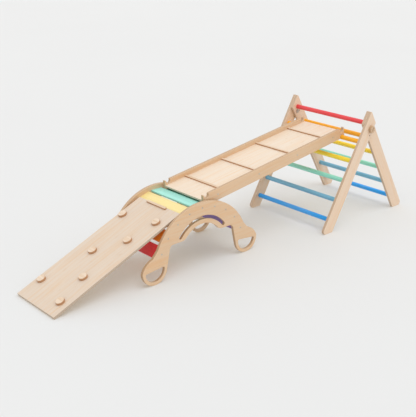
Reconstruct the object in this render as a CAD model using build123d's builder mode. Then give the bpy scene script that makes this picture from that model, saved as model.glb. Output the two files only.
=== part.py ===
"""Toddler climbing and slide set: folding triangle, railed ramp, arch rocker and climbing board.

Millimetres, +Z up. The four pieces stand in one line along X, as they are set up for play.
The origin is on the floor, in the middle of the set's length and of the triangle's width.
"""
from build123d import *
from math import atan2, cos, degrees, hypot, radians, sin, sqrt, tan
import os

os.makedirs("parts", exist_ok=True)

# ---- whole set ----
half_length = 1263.0      # half of the set's length
line_y = 25.0             # centre line of the ramp and of the climbing board
ply = 18.0                # thickness of legs, rails and arch panels
edge_round = 2.0          # softened edges of the plywood

# ---- climbing triangle ----
pivot_z = 613.0           # height of the top rung's axis
triangle_width = 633.0    # over the outer faces of the front legs
leg_angle = 30.0          # each leg from the vertical
leg_width = 80.0
tip_flat = 8.0            # flat at the top of each leg
toe_round = 20.0          # rounding of a foot's outer corner
heel_round = 12.0         # rounding of a foot's inner corner
rung_radius = 14.0
first_rung = 120.0        # from the pivot, along the leg
rung_pitch = 126.0
tenon = 11.0              # depth of a rung's end in its leg
pivot_play = 0.05         # radial play of the rear legs on the top rung
slip_ring_radius = 24.0
leg_gap = 1.0             # between a front and a rear leg
rung_colours = ["orange", "yellow", "green", "grey_blue", "blue"]

# ---- folding lock ----
lock_drop = 31.0          # lock bolt below the pivot
spare_drop = 70.0         # spare hole below the pivot
spare_shift = 6.0         # spare hole towards the ramp from the pivot
bolt_radius = 4.0
slot_play = 0.5           # between the bolt and the sides of its slot
fold_range = 30.0         # degrees that the rear frame folds
knob_radius = 22.0
knob_height = 17.0
knob_round = 4.0
knob_bore = 12.0
grip_groove = (24.0, 5.0, 3.0)
grip_turn = 60.0
washer_radius = 12.0
washer_height = 1.6
washer_gap = 0.2          # between the washer and the rear leg that slides past it
bolt_head_radius = 9.0
bolt_head_height = 4.0
bolt_head_round = 3.5
bolt_end_gap = 1.0        # between the bolt's end and the bottom of the knob's bore

# ---- arch rocker ----
arch_y = 29.0             # centre line of the arch
arch_width = 412.0        # over the outer faces of the panels
rim_radius = 335.0
rim_z = 45.0              # height of the centre of the rim's circle
rim_end = 65.0            # degrees from the crown to the rim's end at the neck
slat_face = 308.4         # from the rim's centre to a slat's top face
slat_pitch = 16.9         # degrees between neighbouring slats
slat_width = 74.0
slat_height = 12.0
slat_round = 2.5
slat_colours = ["red", "orange", "amber", "yellow", "mint", "green", "blue", "indigo", "purple"]
ring_x = 326.0            # centre of a ring handle from the arch's centre line
ring_z = 81.0
ring_radius = 81.0
grip_radius = 62.5        # opening of a ring handle
grip_bar = (-4.6, 171.6)  # directions of the two ends of the opening's straight top
grip_corner = 9.0
shoulder = [(338.0, 148.0), (383.0, 121.0), (407.0, 81.0)]
neck_round = 16.0
leg_lean = 11.5           # degrees that the leg's inner edge leans
ledge_z = 194.0           # step below the ends of the rib
ledge_round = 26.0
rib_z = 112.6             # centre of the rib's lower edge
rib_radius = 145.4
rib_blend = 45.0
crescent_z = 100.0        # centre of the crescent slot's arc
crescent_radius = 192.0
crescent_half = 52.0      # degrees each side of the crown
crescent_width = 20.0

# ---- ramp ----
ramp_width = 345.0        # over the rails
rail_height = 65.0
ramp_board_height = 9.0
notch_play = 0.5          # round a rung
notch_rise = 8.0          # rung's axis above the rail's lower edge
notch_from_end = 25.0
mouth_round = 6.0         # rounding of a notch's mouth
prong_round = 3.0
ramp_foot_x = -299.8      # tips of the lower prongs, between the mint and the green slats
ramp_foot_z = 335.8       # height of those tips, with the rails resting on the green slat
batten_width = 15.0
batten_height = 8.0
batten_count = 4
batten_pitch = 284.0
rail_screw_inset = 105.0
rail_screw_count = 4

# ---- climbing board ----
panel_length = 857.0
panel_width = 348.0
panel_height = 15.0
panel_slope = 22.5
board_seat = 309.5        # from the rim's centre to the underside, which rests on the amber slat
hold_radius = 24.0
hold_height = 14.0
hold_round = 5.0
hold_places = [(86, -115), (133, 134), (261, -77), (418, 50), (567, -73), (702, 140), (741, -107)]
grip_length = 165.0
grip_width = 15.0
grip_height = 9.0
grip_shift = 12.0
cleat_length = 320.0
cleat_width = 10.0
cleat_drop = 30.0
cleat_from_end = 2.5

# ---- furniture screws ----
screw_radius = 2.5
screw_head = 5.0
screw_head_height = 2.5
screw_socket = 2.0        # inscribed radius of the hex socket
screw_socket_depth = 1.8
screw_play = 0.05
screw_length = 48.0
hold_screw_length = 23.0


# ============ places worked out from the sizes ============
leg_tan = tan(radians(leg_angle))
leg_edge = leg_width / 2 / cos(radians(leg_angle))
foot_centre = pivot_z * leg_tan
toe_reach = foot_centre + leg_edge - toe_round * (1 / tan(radians(45 - leg_angle / 2)) - 1)
pivot_x = half_length - toe_reach
front_out = triangle_width / 2
front_in = front_out - ply
rear_out = front_in - leg_gap
rear_in = rear_out - ply
rung_places = [first_rung + rung_pitch * i for i in range(len(rung_colours))]
lock_z = pivot_z - lock_drop
lock_path = CenterArc((0, 0), lock_drop, -90, fold_range)
crescent_path = CenterArc((0, 0), crescent_radius, 90 - crescent_half, 2 * crescent_half)

slope_sin = sin(radians(panel_slope))
slope_cos = cos(radians(panel_slope))
foot_reach = (board_seat + rim_z * slope_cos) / slope_sin
arch_x = -half_length + foot_reach + panel_height * slope_sin
panel_foot_x = arch_x - foot_reach
arch_out = arch_width / 2
arch_in = arch_out - ply
middle_slat = len(slat_colours) // 2
slat_angles = [slat_pitch * (middle_slat - i) for i in range(len(slat_colours))]
slat_axis = slat_face - slat_height / 2

hook_x = pivot_x - first_rung * sin(radians(leg_angle))
hook_z = pivot_z - first_rung * cos(radians(leg_angle))
hook_span = hypot(hook_x - ramp_foot_x, hook_z - ramp_foot_z)
hook_run = sqrt(hook_span**2 - notch_rise**2)
span_slope = atan2(hook_z - ramp_foot_z, hook_x - ramp_foot_x)
ramp_slope = degrees(span_slope - atan2(notch_rise, hook_run))
ramp_length = hook_run + notch_from_end
ramp_out = ramp_width / 2
ramp_in = ramp_out - ply
board_low = (rail_height - ramp_board_height) / 2
board_high = board_low + ramp_board_height


# ============ shared helpers ============
def keep(part, label):
    """Names a finished piece and writes it."""
    part.part.label = label
    export_step(part.part, f"parts/{label}.step")


def upright(y, x=0.0, z=0.0):
    """Vertical plane at y that faces -Y, with its own X and Y along the set's X and Z."""
    return Plane(origin=(x, y, z), x_dir=(1, 0, 0), z_dir=(0, -1, 0))


def tilted(y, x, z, slope):
    """Vertical plane at y that faces -Y, with its own X climbing along the slope."""
    a = radians(slope)
    return Plane(origin=(x, y, z), x_dir=(cos(a), 0, sin(a)), z_dir=(0, -1, 0))


def outward(side, y, x, z):
    """Plane on a side face at y; side is -1 for a face towards -Y and +1 towards +Y."""
    return Plane(origin=(x, y, z), x_dir=(1, 0, 0), z_dir=(0, side, 0))


def screw_set(places, length):
    """Screws with a flat head, a hex socket and a shank that goes into each plane."""
    with BuildPart() as screws:
        for place in places:
            with BuildSketch(place):
                Circle(screw_head)
                RegularPolygon(screw_socket, 6, major_radius=False, mode=Mode.SUBTRACT)
            extrude(amount=-screw_socket_depth)
            with BuildSketch(place.offset(-screw_socket_depth)):
                Circle(screw_head)
            extrude(amount=screw_socket_depth - screw_head_height)
            with BuildSketch(place.offset(-screw_head_height)):
                Circle(screw_radius)
            extrude(amount=screw_head_height - length)
    return screws


def drill(places, length):
    """Cuts the screws' counterbored holes in the piece that is being built."""
    for place in places:
        with BuildSketch(place) as head:
            Circle(screw_head + screw_play)
        extrude(head.sketch, amount=-screw_head_height, mode=Mode.SUBTRACT)
        with BuildSketch(place) as shank:
            Circle(screw_radius + screw_play)
        extrude(shank.sketch, amount=-length - screw_play, mode=Mode.SUBTRACT)


# ============ climbing triangle ============
def rung_centre(side, distance):
    """X and Z of a rung; side is -1 on the front legs and +1 on the rear legs."""
    a = radians(leg_angle)
    return (pivot_x + side * distance * sin(a), pivot_z - distance * cos(a))


def round_hole(facing, y, x, z, radius, depth):
    """Cuts a round hole in the piece that is being built, from its face at y."""
    with BuildSketch(outward(facing, y, x, z)) as mouth:
        Circle(radius)
    extrude(mouth.sketch, amount=-depth, mode=Mode.SUBTRACT)


def build_leg(side, y_low, facing):
    """Leg from y_low to y_low + ply: front is side -1; its rung sockets open towards facing."""
    tip_z = pivot_z + (leg_edge - tip_flat / 2) / leg_tan
    toe = (pivot_x + side * (foot_centre + leg_edge), 0)
    heel = (pivot_x + side * (foot_centre - leg_edge), 0)
    top = [(pivot_x - side * tip_flat / 2, tip_z), (pivot_x + side * tip_flat / 2, tip_z)]
    inner_y = y_low if facing < 0 else y_low + ply
    with BuildPart() as leg:
        with BuildSketch(upright(y_low + ply)) as blank:
            Polygon(*top, toe, heel, (pivot_x - side * leg_edge, pivot_z), align=None)
            fillet(blank.vertices().sort_by_distance((*toe, 0))[0], toe_round)
            fillet(blank.vertices().sort_by_distance((*heel, 0))[0], heel_round)
        extrude(amount=ply)
        fillet(leg.faces().filter_by(Axis.Y).edges(), edge_round)
        for distance in rung_places:
            round_hole(facing, inner_y, *rung_centre(side, distance), rung_radius, tenon)
        if side < 0:
            round_hole(facing, inner_y, pivot_x, pivot_z, rung_radius, tenon)
            round_hole(facing, inner_y, pivot_x, lock_z, bolt_radius, ply)
            spare_x = pivot_x - spare_shift
            round_hole(facing, inner_y, spare_x, pivot_z - spare_drop, bolt_radius, ply)
        else:
            round_hole(facing, inner_y, pivot_x, pivot_z, rung_radius + pivot_play, ply)
            with BuildSketch(upright(y_low + ply, pivot_x, pivot_z)):
                SlotArc(lock_path, 2 * (bolt_radius + slot_play))
            extrude(amount=ply, mode=Mode.SUBTRACT)
    return leg


def build_rung(x, z, half):
    """Dowel along Y that reaches half its length each side of the middle."""
    with BuildPart() as rung:
        with BuildSketch(upright(half, x, z)):
            Circle(rung_radius)
        extrude(amount=2 * half)
    return rung


for name, facing in (("near", 1), ("far", -1)):
    front_low = -front_out if facing > 0 else front_in
    rear_low = -rear_out if facing > 0 else rear_in
    keep(build_leg(-1, front_low, facing), f"front_leg_{name}")
    keep(build_leg(1, rear_low, facing), f"rear_leg_{name}")

keep(build_rung(pivot_x, pivot_z, front_in + tenon), "top_rung_red")
for colour, distance in zip(rung_colours, rung_places):
    keep(build_rung(*rung_centre(-1, distance), front_in + tenon), f"front_rung_{colour}")
    keep(build_rung(*rung_centre(1, distance), rear_in + tenon), f"rear_rung_{colour}")

# Thin slip rings that keep the rear legs off the front legs.
with BuildPart() as slip_rings:
    for y in (front_in, -rear_out):
        with BuildSketch(upright(y - washer_gap / 2, pivot_x, pivot_z)):
            Circle(slip_ring_radius)
            Circle(rung_radius + pivot_play, mode=Mode.SUBTRACT)
        extrude(amount=leg_gap - washer_gap)
keep(slip_rings, "pivot_slip_rings")


# ============ folding lock ============
washer_y = rear_in - washer_gap
head_y = washer_y - washer_height
for name, side in (("near", -1), ("far", 1)):
    with BuildPart() as bolt:
        with BuildSketch(outward(side, side * head_y, pivot_x, lock_z)):
            Circle(bolt_radius)
        extrude(amount=front_out + knob_bore - bolt_end_gap - head_y)
        with BuildSketch(outward(-side, side * head_y, pivot_x, lock_z)):
            Circle(bolt_head_radius)
        extrude(amount=bolt_head_height)
        dome = bolt.faces().filter_by(Axis.Y).sort_by(Axis.Y)[0 if side > 0 else -1]
        fillet(dome.edges(), bolt_head_round)
    keep(bolt, f"lock_bolt_{name}")

    with BuildPart() as knob:
        with BuildSketch(outward(side, side * front_out, pivot_x, lock_z)):
            Circle(knob_radius)
        extrude(amount=knob_height)
        rim = knob.faces().filter_by(Axis.Y).sort_by(Axis.Y)[-1 if side > 0 else 0]
        fillet(rim.edges(), knob_round)
        knob_face = outward(side, side * (front_out + knob_height), pivot_x, lock_z)
        with BuildSketch(knob_face):
            SlotOverall(grip_groove[0], grip_groove[1], rotation=grip_turn * -side)
        extrude(amount=-grip_groove[2], mode=Mode.SUBTRACT)
        round_hole(-side, side * front_out, pivot_x, lock_z, bolt_radius + pivot_play, knob_bore)
    keep(knob, f"lock_knob_{name}")

with BuildPart() as lock_washers:
    for y in (-head_y, washer_y):
        with BuildSketch(upright(y, pivot_x, lock_z)):
            Circle(washer_radius)
            Circle(bolt_radius + pivot_play, mode=Mode.SUBTRACT)
        extrude(amount=washer_height)
keep(lock_washers, "lock_washers")


# ============ arch rocker ============
def slat_screw_places(sides):
    """Planes of the slats' screw heads on the panels' outer faces."""
    places = []
    for side in sides:
        for angle in slat_angles:
            x = arch_x - slat_axis * sin(radians(angle))
            z = rim_z + slat_axis * cos(radians(angle))
            places.append(outward(side, arch_y + side * arch_out, x, z))
    return places


def build_arch_panel(side):
    """Arch side: curved band with ring handles, a crescent slot and a thin rib below it."""
    y_high = arch_y + (arch_out if side > 0 else -arch_in)
    lean = radians(leg_lean)
    foot_x = ring_x - ring_radius * cos(lean)
    foot_z = ring_z - ring_radius * sin(lean)
    ledge_x = foot_x - (ledge_z - foot_z) * tan(lean)
    rib_x = sqrt(rib_radius**2 - (ledge_z - rib_z) ** 2)
    rib_angle = degrees(atan2(ledge_z - rib_z, rib_x))
    with BuildPart() as panel:
        with BuildSketch(upright(y_high, arch_x, 0)) as outline:
            with BuildLine():
                rim = CenterArc((0, rim_z), rim_radius, 90, -rim_end)
                Line(rim @ 1, shoulder[0])
                ThreePointArc(*shoulder)
                ring = CenterArc((ring_x, ring_z), ring_radius, 0, leg_lean - 180)
                Line(ring @ 1, (ledge_x, ledge_z))
                Line((ledge_x, ledge_z), (rib_x, ledge_z))
                rib = CenterArc((0, rib_z), rib_radius, rib_angle, 90 - rib_angle)
                Line(rib @ 1, rim @ 0)
            make_face()
            fillet(outline.vertices().sort_by_distance((*shoulder[0], 0))[0], neck_round)
            fillet(outline.vertices().sort_by_distance((ledge_x, ledge_z, 0))[0], ledge_round)
            fillet(outline.vertices().sort_by_distance((rib_x, ledge_z, 0))[0], rib_blend)
            mirror(about=Plane.YZ)
        extrude(amount=ply)
        with BuildSketch(upright(y_high, arch_x, 0)) as grips:
            with BuildLine():
                sweep_angle = grip_bar[1] - 360 - grip_bar[0]
                arc = CenterArc((ring_x, ring_z), grip_radius, grip_bar[0], sweep_angle)
                Line(arc @ 1, arc @ 0)
            make_face()
            fillet(grips.vertices(), grip_corner)
            mirror(about=Plane.YZ)
        extrude(amount=ply, mode=Mode.SUBTRACT)
        with BuildSketch(upright(y_high, arch_x, crescent_z)):
            SlotArc(crescent_path, crescent_width)
        extrude(amount=ply, mode=Mode.SUBTRACT)
        fillet(panel.faces().filter_by(Axis.Y).edges(), edge_round)
        drill(slat_screw_places([side]), screw_length)
    return panel


for name, side in (("near", -1), ("far", 1)):
    keep(build_arch_panel(side), f"arch_panel_{name}")

for colour, angle in zip(slat_colours, slat_angles):
    with BuildPart() as slat:
        with BuildSketch(tilted(arch_y + arch_in, arch_x, rim_z, angle)):
            with Locations((0, slat_axis)):
                Rectangle(slat_width, slat_height)
        extrude(amount=2 * arch_in)
        fillet(slat.edges().filter_by(Axis.Y), slat_round)
        drill(slat_screw_places([-1, 1]), screw_length)
    keep(slat, f"arch_slat_{colour}")

keep(screw_set(slat_screw_places([-1, 1]), screw_length), "arch_screws")


# ============ ramp ============
def ramp_plane(y):
    """Vertical plane at y with its own X along the ramp's lower edge."""
    return tilted(y, ramp_foot_x, ramp_foot_z, ramp_slope)


def rail_screw_places(sides):
    """Planes of the rails' screw heads."""
    a = radians(ramp_slope)
    pitch = (ramp_length - 2 * rail_screw_inset) / (rail_screw_count - 1)
    places = []
    for side in sides:
        for i in range(rail_screw_count):
            along = rail_screw_inset + i * pitch
            x = ramp_foot_x + along * cos(a) - rail_height / 2 * sin(a)
            z = ramp_foot_z + along * sin(a) + rail_height / 2 * cos(a)
            places.append(outward(side, line_y + side * ramp_out, x, z))
    return places


for name, side in (("near", -1), ("far", 1)):
    notch = rung_radius + notch_play
    y_high = line_y + (ramp_out if side > 0 else -ramp_in)
    with BuildPart() as rail:
        with BuildSketch(ramp_plane(y_high)) as profile:
            Rectangle(ramp_length, rail_height, align=Align.MIN)
            for along in (notch_from_end, ramp_length - notch_from_end):
                for low, centre in ((0, notch_rise), (rail_height, rail_height - notch_rise)):
                    with Locations((along, centre)):
                        Circle(notch, mode=Mode.SUBTRACT)
                    with Locations((along, (low + centre) / 2)):
                        Rectangle(2 * notch, notch_rise, mode=Mode.SUBTRACT)
            rows = profile.vertices().group_by(Axis.Y)
            columns = (rows[0] + rows[-1]).group_by(Axis.X)
            fillet([corner for column in columns[1:-1] for corner in column], mouth_round)
            columns = profile.vertices().group_by(Axis.X)
            fillet(columns[0] + columns[-1], prong_round)
        extrude(amount=ply)
        fillet(rail.faces().filter_by(Axis.Y).edges(), edge_round)
        drill(rail_screw_places([side]), screw_length)
    keep(rail, f"ramp_rail_{name}")

with BuildPart() as ramp_board:
    with BuildSketch(ramp_plane(line_y + ramp_in)):
        with Locations((0, board_low)):
            Rectangle(ramp_length, ramp_board_height, align=Align.MIN)
    extrude(amount=2 * ramp_in)
    drill(rail_screw_places([-1, 1]), screw_length)
keep(ramp_board, "ramp_board")

for i in range(batten_count):
    along = ramp_length / 2 + (i - (batten_count - 1) / 2) * batten_pitch
    with BuildPart() as batten:
        with BuildSketch(ramp_plane(line_y + ramp_in)):
            with Locations((along, board_high)):
                Rectangle(batten_width, batten_height, align=(Align.CENTER, Align.MIN))
        extrude(amount=2 * ramp_in)
        fillet(batten.edges().filter_by(Axis.Y).sort_by(Axis.Z)[-2:], edge_round)
    keep(batten, f"ramp_batten_{i + 1}")

keep(screw_set(rail_screw_places([-1, 1]), screw_length), "ramp_screws")


# ============ climbing board ============
def board_plane(y):
    """Vertical plane at y with its own X along the board's underside, from its foot."""
    return tilted(y, panel_foot_x, 0, panel_slope)


def board_face(along, across, above, facing=1):
    """Plane parallel to the board at a place on it; facing is -1 for the underside."""
    x = panel_foot_x + along * slope_cos - above * slope_sin
    z = along * slope_sin + above * slope_cos
    normal = (-slope_sin * facing, 0, slope_cos * facing)
    return Plane(origin=(x, line_y + across, z), x_dir=(slope_cos, 0, slope_sin), z_dir=normal)


hold_screw_places = [board_face(along, across, 0, -1) for along, across in hold_places]
with BuildPart() as climbing_panel:
    with BuildSketch(board_plane(line_y + panel_width / 2)):
        Rectangle(panel_length, panel_height, align=Align.MIN)
    extrude(amount=panel_width)
    fillet(climbing_panel.edges(), edge_round)
    drill(hold_screw_places, hold_screw_length)
keep(climbing_panel, "climbing_panel")

for i, (along, across) in enumerate(hold_places):
    with BuildPart() as hold:
        with BuildSketch(board_face(along, across, panel_height)):
            Circle(hold_radius)
        extrude(amount=hold_height)
        fillet(hold.edges().filter_by(GeomType.CIRCLE).sort_by(Axis.Z)[-1], hold_round)
        drill([hold_screw_places[i]], hold_screw_length)
    keep(hold, f"climbing_hold_{i + 1}")

with BuildPart() as grip_strip:
    strip_along = panel_length - grip_width / 2 - edge_round
    with BuildSketch(board_face(strip_along, grip_shift, panel_height)):
        SlotOverall(grip_length, grip_width, rotation=90)
    extrude(amount=grip_height)
    fillet(grip_strip.faces().sort_by(Axis.Z)[-1].edges(), edge_round)
keep(grip_strip, "grip_strip")

with BuildPart() as hook_cleat:
    with BuildSketch(board_plane(line_y + cleat_length / 2)):
        with Locations((panel_length - cleat_from_end, 0)):
            Rectangle(cleat_width, cleat_drop, align=Align.MAX)
    extrude(amount=cleat_length)
    fillet(hook_cleat.edges().filter_by(Axis.Y).sort_by(Axis.Z)[:2], edge_round)
keep(hook_cleat, "hook_cleat")

keep(screw_set(hold_screw_places, hold_screw_length), "hold_screws")
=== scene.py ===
"""Looks of the toddler climbing and slide set: lacquered birch plywood, painted rungs and slats."""
from math import cos, radians, sin

import bpy
from mathutils import Matrix, Vector


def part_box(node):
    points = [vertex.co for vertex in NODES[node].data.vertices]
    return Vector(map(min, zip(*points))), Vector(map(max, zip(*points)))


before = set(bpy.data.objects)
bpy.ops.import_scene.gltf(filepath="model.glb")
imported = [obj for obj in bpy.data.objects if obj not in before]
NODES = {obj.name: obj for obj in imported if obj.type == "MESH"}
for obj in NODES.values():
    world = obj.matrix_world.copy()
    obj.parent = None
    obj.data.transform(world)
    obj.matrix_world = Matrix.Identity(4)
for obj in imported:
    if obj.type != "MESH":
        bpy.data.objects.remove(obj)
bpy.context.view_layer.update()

SIDES = ("near", "far")
RUNGS = ("orange", "yellow", "green", "grey_blue", "blue")
BATTENS = 4
HOLDS = 7
X_AXIS = Vector((1, 0, 0))
Y_AXIS = Vector((0, 1, 0))
Z_AXIS = Vector((0, 0, 1))

MM = 0.001
RAMP_BOARD_THICKNESS = 9 * MM
CLIMBING_PANEL_THICKNESS = 15 * MM
CLIMBING_SLOPE = radians(22.5)

# Texture frequencies in cycles per metre, along the grain, across it and through the piece.
WANDER = (1.3, 7.0, 7.0)
GROWTH_FIGURE = (2.2, 75.0, 75.0)
STREAKS = (14.0, 620.0, 620.0)
BLOTCHES = (4.0, 6.0, 6.0)
PORE_DASHES = (34.0, 900.0, 900.0)
FLAMES = (18.0, 46.0, 46.0)
EDGE_FIBRES = (260.0, 260.0, 1500.0)
BEECH_FLECKS = (120.0, 900.0, 900.0)
PAINT_CHIPS = (90.0, 240.0, 240.0)
TURNED_RINGS = (12.0, 12.0, 300.0)
TURNED_FIBRES = (90.0, 90.0, 1100.0)

# How far the growth figure bends off a straight line, in metres.
BOARD_BEND = 0.06
KNOB_BEND = 0.012

# Plies repeat in pairs: one along the grain, then one across it, with glue before each change.
ALONG_GLUE = 0.47
ACROSS_GLUE = 0.97
GLUE_HALF_WIDTH = 0.035


# ============ node helpers ============
class Shader:
    """A material's node tree with short calls for the nodes that are used here."""

    # The Mix node keeps one set of sockets for each data type. These are its colour sockets.
    MIX_A = 6
    MIX_B = 7
    MIX_RESULT = 2

    def __init__(self, name):
        self.material = bpy.data.materials.new(name)
        self.material.use_nodes = True
        self.tree = self.material.node_tree
        self.surface = self.tree.nodes["Principled BSDF"]
        self.coords = self.tree.nodes.new("ShaderNodeTexCoord")
        self.place = self.coords.outputs["Object"]
        self.normal = self.coords.outputs["Normal"]

    def link(self, source, socket):
        """Joins a socket, or sets it where source is a plain value."""
        if isinstance(source, bpy.types.NodeSocket):
            self.tree.links.new(source, socket)
        else:
            socket.default_value = source

    def math(self, operation, a, b=0.0, clamp=False):
        node = self.tree.nodes.new("ShaderNodeMath")
        node.operation = operation
        node.use_clamp = clamp
        self.link(a, node.inputs[0])
        self.link(b, node.inputs[1])
        return node.outputs[0]

    def plus(self, a, b):
        return self.math("ADD", a, b)

    def minus(self, a, b):
        return self.math("SUBTRACT", a, b)

    def times(self, a, b):
        return self.math("MULTIPLY", a, b)

    def close_to(self, value, centre, spread):
        """1 where value is within spread of centre, and 0 elsewhere."""
        result = self.math("COMPARE", value, centre)
        result.node.inputs[2].default_value = spread
        return result

    def dot(self, vector, axis):
        node = self.tree.nodes.new("ShaderNodeVectorMath")
        node.operation = "DOT_PRODUCT"
        self.link(vector, node.inputs[0])
        node.inputs[1].default_value = axis
        return node.outputs["Value"]

    def facing(self, axis):
        """1 where the surface faces either way along axis, and 0 where it lies along it."""
        return self.math("ABSOLUTE", self.dot(self.normal, axis))

    def vector(self, u, v, w):
        node = self.tree.nodes.new("ShaderNodeCombineXYZ")
        for socket, source in zip(node.inputs, (u, v, w)):
            self.link(source, socket)
        return node.outputs[0]

    def noise(self, vector, scale=1.0, detail=4.0, roughness=0.55):
        node = self.tree.nodes.new("ShaderNodeTexNoise")
        self.link(vector, node.inputs["Vector"])
        node.inputs["Scale"].default_value = scale
        node.inputs["Detail"].default_value = detail
        node.inputs["Roughness"].default_value = roughness
        return node.outputs["Fac"]

    def grain_noise(self, spot, frequencies, detail, roughness=0.55):
        """Noise with its own frequency along each of spot's three coordinates."""
        scaled = [self.times(part, frequency) for part, frequency in zip(spot, frequencies)]
        return self.noise(self.vector(*scaled), 1.0, detail, roughness)

    def ramp(self, source, low, high, invert=False):
        """0 below low and 1 above high, smoothly."""
        node = self.tree.nodes.new("ShaderNodeMapRange")
        node.interpolation_type = "SMOOTHSTEP"
        self.link(source, node.inputs["Value"])
        node.inputs["From Min"].default_value = low
        node.inputs["From Max"].default_value = high
        node.inputs["To Min"].default_value = 1.0 if invert else 0.0
        node.inputs["To Max"].default_value = 0.0 if invert else 1.0
        return node.outputs["Result"]

    def show(self, source, low, high, strength):
        """A ramp that stops at strength."""
        return self.times(self.ramp(source, low, high), strength)

    def mix(self, factor, a, b):
        node = self.tree.nodes.new("ShaderNodeMix")
        node.data_type = "RGBA"
        self.link(factor, node.inputs["Factor"])
        self.link(a, node.inputs[self.MIX_A])
        self.link(b, node.inputs[self.MIX_B])
        return node.outputs[self.MIX_RESULT]

    def bump(self, height, distance, strength):
        node = self.tree.nodes.new("ShaderNodeBump")
        node.inputs["Strength"].default_value = strength
        node.inputs["Distance"].default_value = distance
        self.link(height, node.inputs["Height"])
        self.link(node.outputs[0], self.surface.inputs["Normal"])

    def finish(self, colour, roughness, coat=0.0, coat_roughness=0.3, metallic=0.0):
        self.link(colour, self.surface.inputs["Base Color"])
        self.link(roughness, self.surface.inputs["Roughness"])
        self.surface.inputs["Coat Weight"].default_value = coat
        self.surface.inputs["Coat Roughness"].default_value = coat_roughness
        self.surface.inputs["Metallic"].default_value = metallic
        return self.material


# ============ colours ============
def rgb(red, green, blue):
    """Display colour, 0 to 255, as the linear colour that shaders take."""
    linear = [
        (c / 255 / 12.92) if c < 11 else ((c / 255 + 0.055) / 1.055) ** 2.4
        for c in (red, green, blue)
    ]
    return (*linear, 1.0)


def darker(colour, factor):
    return (*[c * factor for c in colour[:3]], 1.0)


def toasted(colour, factor):
    """Darker and browner, as wood is across its grain."""
    red, green, blue = colour[:3]
    return (red * factor, green * factor * 0.86, blue * factor * 0.70, 1.0)


LEG_TAN = rgb(230, 205, 180)
TAN = rgb(221, 190, 156)
PALE = rgb(216, 199, 181)
RAMP_PALE = rgb(231, 215, 196)
BEECH = rgb(214, 180, 144)
HOLD_TOP = rgb(228, 209, 188)
# Side colour of the beech holds and battens: painted shade, partly the cut wood's own darker tone.
HOLD_SIDE_SHADE = rgb(196, 146, 106)
BARE_WOOD = rgb(226, 186, 140)
BOLT_STEEL = rgb(205, 196, 184)
ZINC = rgb(214, 208, 198)
NYLON_LIGHT = rgb(226, 222, 210)
NYLON_DARK = rgb(206, 202, 190)
PAINTS = {
    "red": rgb(232, 60, 66),
    "orange": rgb(255, 180, 16),
    "yellow": rgb(255, 226, 60),
    "green": rgb(150, 232, 210),
    "grey_blue": rgb(118, 182, 212),
    "blue": rgb(30, 165, 248),
}
SLAT_PAINTS = {
    "red": rgb(240, 36, 46),
    "orange": rgb(255, 143, 32),
    "amber": rgb(246, 176, 70),
    "yellow": rgb(243, 223, 152),
    "mint": rgb(162, 232, 219),
    "green": rgb(60, 140, 112),
    "blue": rgb(70, 130, 200),
    "indigo": rgb(70, 80, 150),
    "purple": rgb(126, 98, 180),
}


# ============ materials ============
def wood_figure(shader, grain, across, seed):
    """Grain coordinates straight and bent, then the growth figure, fine streaks and blotches."""
    u = shader.plus(shader.dot(shader.place, grain), seed)
    v = shader.dot(shader.place, across)
    w = shader.dot(shader.place, grain.cross(across))
    spot = (u, v, w)
    wander = shader.grain_noise(spot, WANDER, 2.0)
    bent_spot = (u, shader.plus(v, shader.times(wander, BOARD_BEND)), w)
    figure = shader.grain_noise(bent_spot, GROWTH_FIGURE, 5.0, 0.6)
    streaks = shader.grain_noise(spot, STREAKS, 3.0, 0.5)
    blotches = shader.grain_noise(spot, BLOTCHES, 3.0)
    return spot, bent_spot, figure, streaks, blotches


def veneer_colour(shader, spot, bent_spot, figure, blotches, face):
    """Face veneer: growth figure, cloudy tint, short pores and a few flames."""
    colour = shader.mix(shader.ramp(figure, 0.40, 0.75), face, toasted(face, 1.0))
    tint = shader.show(blotches, 0.35, 0.75, 0.35)
    colour = shader.mix(tint, colour, darker(face, 0.92))
    dashes = shader.grain_noise(spot, PORE_DASHES, 2.0, 0.5)
    pores = shader.show(dashes, 0.60, 0.72, 0.45)
    colour = shader.mix(pores, colour, toasted(face, 0.86))
    flames = shader.grain_noise(bent_spot, FLAMES, 3.0)
    marks = shader.show(flames, 0.62, 0.78, 0.55)
    return shader.mix(marks, colour, toasted(face, 0.88))


def layered_edge(shader, spot, low_face, thickness, layers, face):
    """Cut edge of plywood: its colour, and where its glue lines are."""
    depth = shader.math("DIVIDE", shader.minus(spot[2], low_face), thickness)
    layer = shader.math("FRACT", shader.times(depth, layers / 2))
    cross_ply = shader.minus(shader.ramp(layer, 0.44, 0.5), shader.ramp(layer, 0.94, 1.0))
    along_glue = shader.close_to(layer, ALONG_GLUE, GLUE_HALF_WIDTH)
    across_glue = shader.close_to(layer, ACROSS_GLUE, GLUE_HALF_WIDTH)
    glue = shader.math("ADD", along_glue, across_glue, clamp=True)
    fibres = shader.times(shader.grain_noise(spot, EDGE_FIBRES, 3.0), 0.5)
    long_ply = shader.mix(fibres, darker(face, 0.90), darker(face, 0.66))
    end_ply = shader.mix(fibres, toasted(face, 0.72), toasted(face, 0.50))
    colour = shader.mix(cross_ply, long_ply, end_ply)
    return shader.mix(shader.times(glue, 0.55), colour, toasted(face, 0.45)), glue


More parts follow.
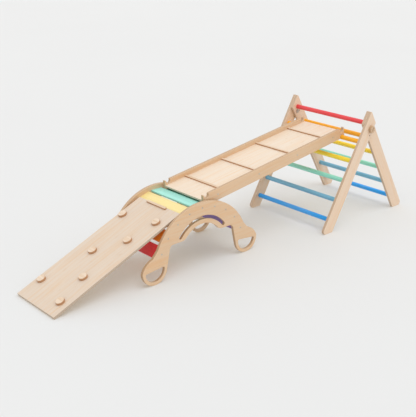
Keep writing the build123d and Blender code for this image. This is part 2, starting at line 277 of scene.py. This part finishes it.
def plywood(name, grain, across, low_face, thickness, face, seed, layers=9):
    """Birch plywood whose layers lie between low_face and low_face + thickness along its normal."""
    shader = Shader(name)
    spot, bent_spot, figure, streaks, blotches = wood_figure(shader, grain, across, seed)
    veneer = veneer_colour(shader, spot, bent_spot, figure, blotches, face)
    edge, glue = layered_edge(shader, spot, low_face, thickness, layers, face)

    facing = shader.facing(grain.cross(across))
    on_face = shader.ramp(facing, 0.80, 0.97)
    arris = shader.times(
        shader.ramp(facing, 0.15, 0.45),
        shader.ramp(facing, 0.9, 0.99, invert=True),
    )
    colour = shader.mix(on_face, edge, veneer)
    worn = shader.times(arris, shader.plus(shader.times(blotches, 0.5), 0.1))
    colour = shader.mix(worn, colour, darker(face, 1.10))

    relief = shader.plus(shader.times(streaks, 0.6), shader.times(figure, 0.4))
    relief = shader.minus(relief, shader.times(glue, shader.minus(1.0, on_face)))
    shader.bump(relief, 0.12 * MM, 0.6)
    rough = shader.plus(shader.times(figure, 0.16), 0.36)
    rough = shader.minus(rough, shader.times(arris, 0.06))
    return shader.finish(colour, rough, coat=0.12, coat_roughness=0.35)


def beech_with_shaded_sides(name, slope, seed):
    """Beech fixed on a board: a pale flecked face, and sides in a darker, browner colour that is
    painted shade, partly the cut wood's own tone, darkened in patches by hands.
    """
    shader = Shader(name)
    spot, _, figure, streaks, blotches = wood_figure(shader, Y_AXIS, slope, seed)
    flecks = shader.grain_noise(spot, BEECH_FLECKS, 2.0)
    top = shader.mix(shader.ramp(figure, 0.34, 0.70), HOLD_TOP, toasted(HOLD_TOP, 0.86))
    top = shader.mix(shader.show(flecks, 0.60, 0.70, 0.45), top, toasted(HOLD_TOP, 0.6))
    # Painted shade: the sides get a darker, browner copy of the beech colour.
    side = shader.mix(shader.ramp(streaks, 0.35, 0.70), HOLD_SIDE_SHADE, darker(HOLD_SIDE_SHADE, 0.7))
    side = shader.mix(shader.times(blotches, 0.3), side, darker(HOLD_SIDE_SHADE, 0.75))
    # Faces that turn up get the top colour, and the others get the shaded side colour.
    facing_up = shader.dot(shader.normal, slope.cross(Y_AXIS))
    colour = shader.mix(shader.ramp(facing_up, 0.55, 0.90), side, top)
    relief = shader.plus(shader.times(streaks, 0.5), shader.times(flecks, -0.5))
    shader.bump(relief, 0.1 * MM, 0.6)
    rough = shader.plus(shader.times(figure, 0.15), 0.38)
    return shader.finish(colour, rough, coat=0.1, coat_roughness=0.35)


def painted_wood(name, paint, wear_from, wear_to, seed, cover=0.85):
    """Satin paint on wood along Y: the grain shows faintly, and it is rubbed where hands go."""
    shader = Shader(name)
    spot, _, figure, streaks, blotches = wood_figure(shader, Y_AXIS, X_AXIS, seed)
    colour = shader.mix(shader.ramp(figure, 0.36, 0.70), paint, darker(paint, 0.86))
    streak_show = shader.show(streaks, 0.55, 0.75, 1.0 - cover)
    colour = shader.mix(streak_show, colour, darker(paint, 0.55))

    along = shader.minus(spot[0], seed)
    centre = (wear_from + wear_to) / 2
    half = (wear_to - wear_from) / 2
    away = shader.math("ABSOLUTE", shader.minus(along, centre))
    zone = shader.ramp(away, half * 0.35, half, invert=True)
    rub = shader.times(shader.times(zone, shader.ramp(blotches, 0.45, 0.8)), 0.22)
    colour = shader.mix(rub, colour, shader.mix(0.35, darker(paint, 1.15), BARE_WOOD))

    chips = shader.grain_noise(spot, PAINT_CHIPS, 4.0, 0.65)
    chip_show = shader.show(chips, 0.735, 0.76, 0.8)
    colour = shader.mix(chip_show, colour, BARE_WOOD)
    relief = shader.plus(shader.times(streaks, 0.35), shader.times(figure, 0.3))
    relief = shader.minus(relief, chip_show)
    shader.bump(relief, 0.15 * MM, 0.6)
    rough = shader.plus(shader.times(figure, 0.12), 0.34)
    rough = shader.minus(rough, shader.times(rub, 0.4))
    return shader.finish(colour, rough, coat=0.25, coat_roughness=0.28)


def turned_wood(name, face, centre):
    """Round wooden piece: curved growth rings on its face, and a rim darkened as painted shade."""
    shader = Shader(name)
    x = shader.minus(shader.dot(shader.place, X_AXIS), centre.x)
    z = shader.minus(shader.dot(shader.place, Z_AXIS), centre.z)
    y = shader.dot(shader.place, Y_AXIS)
    wander = shader.noise(shader.vector(x, y, z), 30.0, 2.0)
    bent = shader.plus(z, shader.times(wander, KNOB_BEND))
    rings = shader.grain_noise((x, y, bent), TURNED_RINGS, 4.0, 0.6)
    fibres = shader.grain_noise((x, y, z), TURNED_FIBRES, 3.0)
    colour = shader.mix(shader.ramp(rings, 0.35, 0.68), face, darker(face, 0.72))
    colour = shader.mix(shader.show(fibres, 0.58, 0.72, 0.4), colour, darker(face, 0.5))
    # Painted shade: the rim, which turns away from the light, is darker and browner.
    shaded_rim = shader.ramp(shader.facing(Y_AXIS), 0.5, 0.95, invert=True)
    colour = shader.mix(shader.times(shaded_rim, 0.45), colour, toasted(face, 0.55))
    shader.bump(fibres, 0.1 * MM, 0.5)
    rough = shader.plus(shader.times(rings, 0.15), 0.33)
    return shader.finish(colour, rough, coat=0.2, coat_roughness=0.25)


def metal(name, colour, rough):
    """Machined steel with fine scratches and duller patches."""
    shader = Shader(name)
    scratches = shader.noise(shader.place, 900.0, 3.0)
    patches = shader.noise(shader.place, 120.0, 3.0)
    tone = shader.mix(shader.ramp(patches, 0.3, 0.7), darker(colour, 0.75), colour)
    tone = shader.mix(shader.show(scratches, 0.6, 0.7, 0.5), tone, darker(colour, 1.3))
    shader.bump(scratches, 0.03 * MM, 0.5)
    return shader.finish(tone, shader.plus(shader.times(patches, 0.2), rough), metallic=1.0)


def nylon(name):
    shader = Shader(name)
    grain = shader.noise(shader.place, 700.0, 3.0)
    shader.bump(grain, 0.05 * MM, 0.5)
    return shader.finish(shader.mix(grain, NYLON_LIGHT, NYLON_DARK), 0.45)


# ============ which way each piece's grain runs ============
def middle(node):
    low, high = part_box(node)
    return (low + high) / 2


def slope_of(first, last):
    """Direction in X and Z from one node's middle to another's."""
    step = middle(last) - middle(first)
    return Vector((step.x, 0, step.z)).normalized()


FRONT_LEG = slope_of("front_rung_orange", "front_rung_blue")
REAR_LEG = slope_of("rear_rung_orange", "rear_rung_blue")
RAMP_LINE = slope_of("ramp_batten_1", f"ramp_batten_{BATTENS}")
BOARD_LINE = Vector((cos(CLIMBING_SLOPE), 0, sin(CLIMBING_SLOPE)))


# ============ dressing the pieces ============
def dress(node, material):
    """Gives a CAD node its material."""
    for slot in NODES[node].material_slots:
        slot.material = material


def dress_upright(node, grain, across, face, seed_step):
    """Plywood that stands on edge, its faces towards -Y and +Y."""
    low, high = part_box(node)
    normal = grain.cross(across)
    low_face = min(normal.y * low.y, normal.y * high.y)
    thickness = high.y - low.y
    seed = low.y * seed_step
    dress(node, plywood(f"ply_{node}", grain, across, low_face, thickness, face, seed))


def dress_sloping(node, grain, thickness, face, seed, layers):
    """Plywood that lies along a slope, its faces up and down."""
    under = middle(node).dot(grain.cross(Y_AXIS)) - thickness / 2
    dress(node, plywood(f"ply_{node}", grain, Y_AXIS, under, thickness, face, seed, layers))


def dress_rung(node, colour):
    low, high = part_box(node)
    seed = (low.x + low.z) * 13
    paint = PAINTS[colour]
    dress(node, painted_wood(f"paint_{node}", paint, low.y * 0.8, high.y * 0.8, seed))


def dress_beech(node, slope, seed):
    dress(node, beech_with_shaded_sides(f"beech_{node}", slope, seed))


def dress_triangle():
    for side in SIDES:
        for row, grain in (("front", FRONT_LEG), ("rear", REAR_LEG)):
            dress_upright(f"{row}_leg_{side}", grain, Y_AXIS.cross(grain), LEG_TAN, 7)
    dress_rung("top_rung_red", "red")
    for colour in RUNGS:
        for row in ("front", "rear"):
            dress_rung(f"{row}_rung_{colour}", colour)


def dress_lock():
    for side in SIDES:
        knob = f"lock_knob_{side}"
        dress(knob, turned_wood(f"turned_{knob}", BEECH, middle(knob)))
    steel = metal("bolt_steel", BOLT_STEEL, 0.45)
    for node in ("lock_bolt_near", "lock_bolt_far", "lock_washers"):
        dress(node, steel)
    dress("pivot_slip_rings", nylon("natural_nylon"))


def dress_arch():
    for side in SIDES:
        dress_upright(f"arch_panel_{side}", X_AXIS, Z_AXIS, TAN, 5)
    for colour, paint in SLAT_PAINTS.items():
        node = f"arch_slat_{colour}"
        low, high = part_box(node)
        dress(node, painted_wood(f"stain_{node}", paint, low.y, high.y, low.x * 11, cover=0.7))


def dress_ramp():
    for side in SIDES:
        dress_upright(f"ramp_rail_{side}", RAMP_LINE, Y_AXIS.cross(RAMP_LINE), TAN, 3)
    dress_sloping("ramp_board", RAMP_LINE, RAMP_BOARD_THICKNESS, RAMP_PALE, 2.0, layers=5)
    for i in range(1, BATTENS + 1):
        dress_beech(f"ramp_batten_{i}", RAMP_LINE, 1.7 * i)


def dress_board():
    dress_sloping("climbing_panel", BOARD_LINE, CLIMBING_PANEL_THICKNESS, PALE, 5.0, layers=7)
    for i in range(1, HOLDS + 1):
        dress_beech(f"climbing_hold_{i}", BOARD_LINE, 2.3 * i)
    for node in ("grip_strip", "hook_cleat"):
        dress_beech(node, BOARD_LINE, 4.4)


def dress_screws():
    zinc = metal("zinc_steel", ZINC, 0.3)
    for node in ("arch_screws", "ramp_screws", "hold_screws"):
        dress(node, zinc)


# ============ stage, light and camera ============
FLOOR_HALF = 30.0
FLOOR_LIGHT = rgb(190, 198, 206)
FLOOR_DARK = rgb(187, 195, 203)
FLOOR_GLOW = rgb(133, 119, 99)
SURROUND_COLOUR = (1.0, 1.0, 1.0, 1.0)
SURROUND_STRENGTH = 0.94
KEY_STRENGTH = 0.85
KEY_ANGLE = radians(40)
KEY_COLOUR = (1.0, 0.985, 0.965)
TOWARDS_KEY = Vector((0.02, -0.40, 1.0))
CAMERA_PLACE = Vector((-3.019, -3.2763, 1.9053))
CAMERA_AZIMUTH = radians(-41.257)
CAMERA_ELEVATION = radians(20.856)
CAMERA_ROLL = radians(-0.284)
CAMERA_LENS = 71.53
SENSOR_WIDTH = 36.0
CLIP_END = 100.0


def add(name, data):
    thing = bpy.data.objects.new(name, data)
    bpy.context.scene.collection.objects.link(thing)
    return thing


def build_floor():
    """Pale studio floor that glows a little, which keeps its shadows light and warm."""
    half = FLOOR_HALF
    mesh = bpy.data.meshes.new("floor")
    corners = [(-half, -half, 0), (half, -half, 0), (half, half, 0), (-half, half, 0)]
    mesh.from_pydata(corners, [], [(0, 1, 2, 3)])
    shader = Shader("studio_floor")
    clouds = shader.noise(shader.place, 0.4, 2.0)
    shader.surface.inputs["Emission Color"].default_value = FLOOR_GLOW
    shader.surface.inputs["Emission Strength"].default_value = 1.0
    mesh.materials.append(shader.finish(shader.mix(clouds, FLOOR_LIGHT, FLOOR_DARK), 0.75))
    floor = add("floor", mesh)


def build_light():
    """An even white surround and one broad soft light from above the near side."""
    world = bpy.data.worlds.new("surround")
    world.use_nodes = True
    background = world.node_tree.nodes["Background"]
    background.inputs["Color"].default_value = SURROUND_COLOUR
    background.inputs["Strength"].default_value = SURROUND_STRENGTH
    bpy.context.scene.world = world

    data = bpy.data.lights.new("soft_key", "SUN")
    data.energy = KEY_STRENGTH
    data.angle = KEY_ANGLE
    data.color = KEY_COLOUR
    add("soft_key", data).rotation_euler = TOWARDS_KEY.to_track_quat("Z", "Y").to_euler()


def build_look():
    """Plain display colours, so that the paints keep their saturation."""
    bpy.context.scene.view_settings.view_transform = "Standard"


def build_camera():
    """Camera 1.9 m up, looking down along the set from its low end."""
    level_part = cos(CAMERA_ELEVATION)
    back = Vector((
        sin(CAMERA_AZIMUTH) * level_part,
        -cos(CAMERA_AZIMUTH) * level_part,
        sin(CAMERA_ELEVATION),
    ))
    level = Vector((cos(CAMERA_AZIMUTH), sin(CAMERA_AZIMUTH), 0))
    rise = back.cross(level)
    right = level * cos(CAMERA_ROLL) + rise * sin(CAMERA_ROLL)
    up = rise * cos(CAMERA_ROLL) - level * sin(CAMERA_ROLL)
    turn = Matrix((right, up, back)).transposed().to_4x4()
    data = bpy.data.cameras.new("camera")
    data.sensor_fit = "HORIZONTAL"
    data.sensor_width = SENSOR_WIDTH
    data.lens = CAMERA_LENS
    data.clip_end = CLIP_END
    camera = add("camera", data)
    camera.matrix_world = Matrix.Translation(CAMERA_PLACE) @ turn
    bpy.context.scene.camera = camera


build_look()
build_camera()
build_floor()
build_light()
dress_triangle()
dress_lock()
dress_arch()
dress_ramp()
dress_board()
dress_screws()
